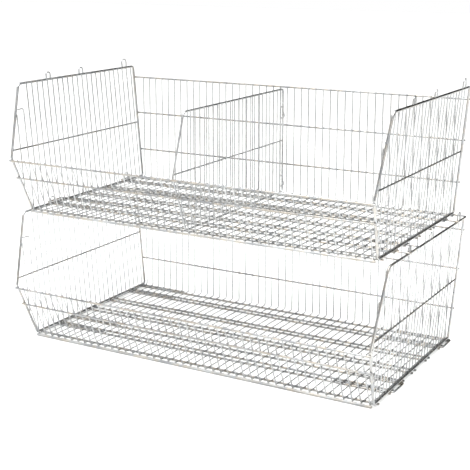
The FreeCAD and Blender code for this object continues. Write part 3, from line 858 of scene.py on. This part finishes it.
class BASKET_OT_welds(bpy.types.Operator):
    """Put a bead of weld metal where wires cross"""

    bl_idname = "basket.welds"
    bl_label = "Welds"

    def execute(self, context):
        s, d = context.scene.basket_sizes, context.scene.divider_sizes
        basket = Basket(s)
        beads = []
        up, back = Vector((0, 0, 1)), Vector((0, 1, 0))
        x = -s.cross_pitch * (s.cross_count - 1) / 2
        row = (s.cross_count, (s.cross_pitch, 0, 0))
        small, tall = s.fine_wire * BEAD_WIDTH, s.fine_wire * BEAD_HEIGHT
        thick = (s.rail_wire, tall * THICK_BEAD_HEIGHT)
        under = basket.frame_z - basket.mesh_out - s.fine_wire / 2
        for y in basket.floor_rail_places():
            beads.append(weld_row(Vector((x, y, under)), up, small, tall, *row))
            for side in SIDES.values():
                spot = Vector((side * s.floor_width / 2, y, basket.frame_z - s.frame_wire / 2))
                beads.append(weld_row(spot, up, *thick))
        behind = s.back_reach + basket.mesh_out + s.fine_wire / 2
        for height in (s.panel_height - s.top_rail_drop, s.high_rail, s.low_rail):
            spot = Vector((x, behind, basket.frame_z + height))
            beads.append(weld_row(spot, back, small, tall, *row))
            for side in SIDES.values():
                spot = Vector((side * basket.half_span(height),
                               s.back_reach + s.frame_wire / 2, basket.frame_z + height))
                beads.append(weld_row(spot, back, *thick))
        for along in (s.gate_top_rail, s.gate_low_rail):
            spot = basket.on_front(along, basket.mesh_out + s.fine_wire / 2, x)
            beads.append(weld_row(spot, basket.outward, small, tall, *row))
            for side in SIDES.values():
                spot = basket.on_front(along, s.frame_wire / 2)
                spot.x = side * basket.half_span(spot.z - basket.frame_z)
                beads.append(weld_row(spot, basket.outward, *thick))
        first, turned, nose = basket.uprights()
        low, high = basket.nose_heights()
        for side in SIDES.values():
            inward = basket.into_basket(side)
            for height in (0, s.mid_height, s.panel_height):
                spot = basket.on_panel(side, first, height, s.frame_wire / 2)
                beads.append(weld_row(spot, inward, small, tall, s.side_count,
                                      (0, s.side_pitch, 0)))
            for y, height in ((turned, 0), (turned, s.mid_height), (nose, low), (nose, high),
                              (nose, s.mid_height),
                              (-basket.front_line(high + s.turned_room), high + s.turned_room)):
                spot = basket.on_panel(side, y, height, s.frame_wire / 2)
                beads.append(weld_row(spot, inward, small, tall))
            for end, inset, kind in HOOKS:
                for leg in (-0.5, 0.5):
                    y = basket.place(end, inset) + leg * getattr(s, f"{kind}_width")
                    spot = basket.on_panel(side, y, s.panel_height)
                    spot += basket.up_panel(side) * s.frame_wire / 2
                    beads.append(weld_row(spot, basket.up_panel(side),
                                          s.hook_wire * HOOK_BEAD_WIDTH,
                                          tall * HOOK_BEAD_HEIGHT))
        metal = weld_metal()
        settle_both(metal, join("lower_welds", beads))

        divider = Divider(basket, d, rise_of_upper_basket())
        face = Vector((1, 0, 0))
        first = divider.back - s.side_pitch * s.side_count
        beads = [weld_row(divider.point(first, height, d.outline_wire / 2), face, small, tall,
                          s.side_count, (0, s.side_pitch, 0))
                 for height in (divider.inset, d.cross_height, divider.top)]
        for top in (divider.top - d.high_hook_drop, d.low_hook_top):
            for height in (top, top - d.hook_height):
                beads.append(weld_row(divider.point(divider.back, height, -d.outline_wire / 2),
                                      face, small, tall))
        settle(join("divider_welds", beads), "divider", [], metal)
        return {"FINISHED"}


class BASKET_OT_studio(bpy.types.Operator):
    """Set up the pale floor, the soft lights and the camera"""

    bl_idname = "basket.studio"
    bl_label = "Studio"

    def execute(self, context):
        scene, studio = context.scene, context.scene.studio
        bpy.ops.object.select_all(action="DESELECT")
        bpy.ops.mesh.primitive_plane_add(size=FLOOR_SPAN, location=(0, 0, 0))
        floor = context.active_object
        floor.name = "studio_floor"
        material, tree = new_material("matt_white_paper")
        surface = add_node(tree, "ShaderNodeBsdfPrincipled", Base_Color=(*studio.floor, 1.0),
                           Roughness=0.9, Specular_IOR_Level=0.1)
        add_node(tree, "ShaderNodeOutputMaterial", Surface=surface.outputs["BSDF"])
        floor.data.materials.append(material)

        world = bpy.data.worlds.new("studio_air")
        world.use_nodes = True
        tree = world.node_tree
        tree.nodes.clear()
        seen = add_node(tree, "ShaderNodeBackground", Color=(1, 1, 1, 1), Strength=1.0)
        around = add_node(tree, "ShaderNodeTexCoord").outputs["Generated"]
        axes = add_node(tree, "ShaderNodeSeparateXYZ", Vector=around)
        shade_level = ramp(tree, add_node(tree, "ShaderNodeMapRange", _0=axes.outputs["Y"], _1=-1.0,
                                   _2=1.0).outputs[0], FELT)
        felt = add_node(tree, "ShaderNodeBackground", Color=shade_level, Strength=1.0)
        rays = add_node(tree, "ShaderNodeLightPath")
        mixed = add_node(tree, "ShaderNodeMixShader", _0=rays.outputs["Is Camera Ray"],
                         _1=felt.outputs[0], _2=seen.outputs[0])
        add_node(tree, "ShaderNodeOutputWorld", Surface=mixed.outputs[0])
        scene.world = world

        bpy.ops.object.light_add(type="SUN", location=(0, 0, 3))
        sky = context.active_object
        sky.name = "overhead_diffuser"
        sky.data.angle = math.radians(DIFFUSER_ANGLE)
        sky.data.energy = studio.sky
        for place, width, height, power in SOFTBOXES:
            bpy.ops.object.light_add(type="AREA", location=place)
            light = context.active_object
            aim = Vector(LIT_POINT) - Vector(place)
            light.rotation_euler = aim.to_track_quat("-Z", "Y").to_euler()
            light.data.shape = "RECTANGLE"
            light.data.size, light.data.size_y = width, height
            light.data.energy = getattr(studio, power)

        bpy.ops.object.camera_add(location=CAMERA_PLACE)
        camera = context.active_object
        camera.rotation_euler = (math.radians(90 - CAMERA_TILT), 0,
                                 math.radians(CAMERA_TURN))
        camera.data.sensor_width = SENSOR_WIDTH
        camera.data.lens = studio.lens
        camera.data.shift_y = CAMERA_SHIFT
        camera.data.clip_end = 60.0
        scene.camera = camera
        scene.view_settings.view_transform = "Standard"
        return {"FINISHED"}


STEPS = (BASKET_OT_side_frames, BASKET_OT_side_wires, BASKET_OT_stacking_hooks, BASKET_OT_mesh,
         BASKET_OT_rails, BASKET_OT_stacking_loops, BASKET_OT_divider, BASKET_OT_welds,
         BASKET_OT_studio)


class BASKET_PT_sidebar(bpy.types.Panel):
    """Sizes, finishes and the steps that model the baskets"""

    bl_idname = "BASKET_PT_sidebar"
    bl_label = "Wire baskets"
    bl_space_type = "VIEW_3D"
    bl_region_type = "UI"
    bl_category = "Baskets"

    def draw(self, context):
        column = self.layout.column(align=True)
        for step in STEPS:
            column.operator(step.bl_idname)
        for group in (context.scene.basket_sizes, context.scene.divider_sizes,
                      context.scene.basket_finish, context.scene.studio):
            box = self.layout.box()
            for key in group.__annotations__:
                box.prop(group, key)


GROUPS = {"basket_sizes": BasketSizes, "divider_sizes": DividerSizes,
          "basket_finish": BasketFinish, "studio": StudioSettings}


def register():
    """Add the settings, the steps and the sidebar."""
    for group in GROUPS.values():
        bpy.utils.register_class(group)
    for name, group in GROUPS.items():
        setattr(bpy.types.Scene, name, PointerProperty(type=group))
    for item in (*STEPS, BASKET_PT_sidebar):
        bpy.utils.register_class(item)


def unregister():
    """Take away all that register added."""
    for item in reversed((*STEPS, BASKET_PT_sidebar)):
        bpy.utils.unregister_class(item)
    for name, group in GROUPS.items():
        delattr(bpy.types.Scene, name)
        bpy.utils.unregister_class(group)


def main():
    """Model the baskets step by step."""
    register()
    for step in STEPS:
        category, name = step.bl_idname.split(".")
        getattr(getattr(bpy.ops, category), name)()


if __name__ == "__main__":
    main()
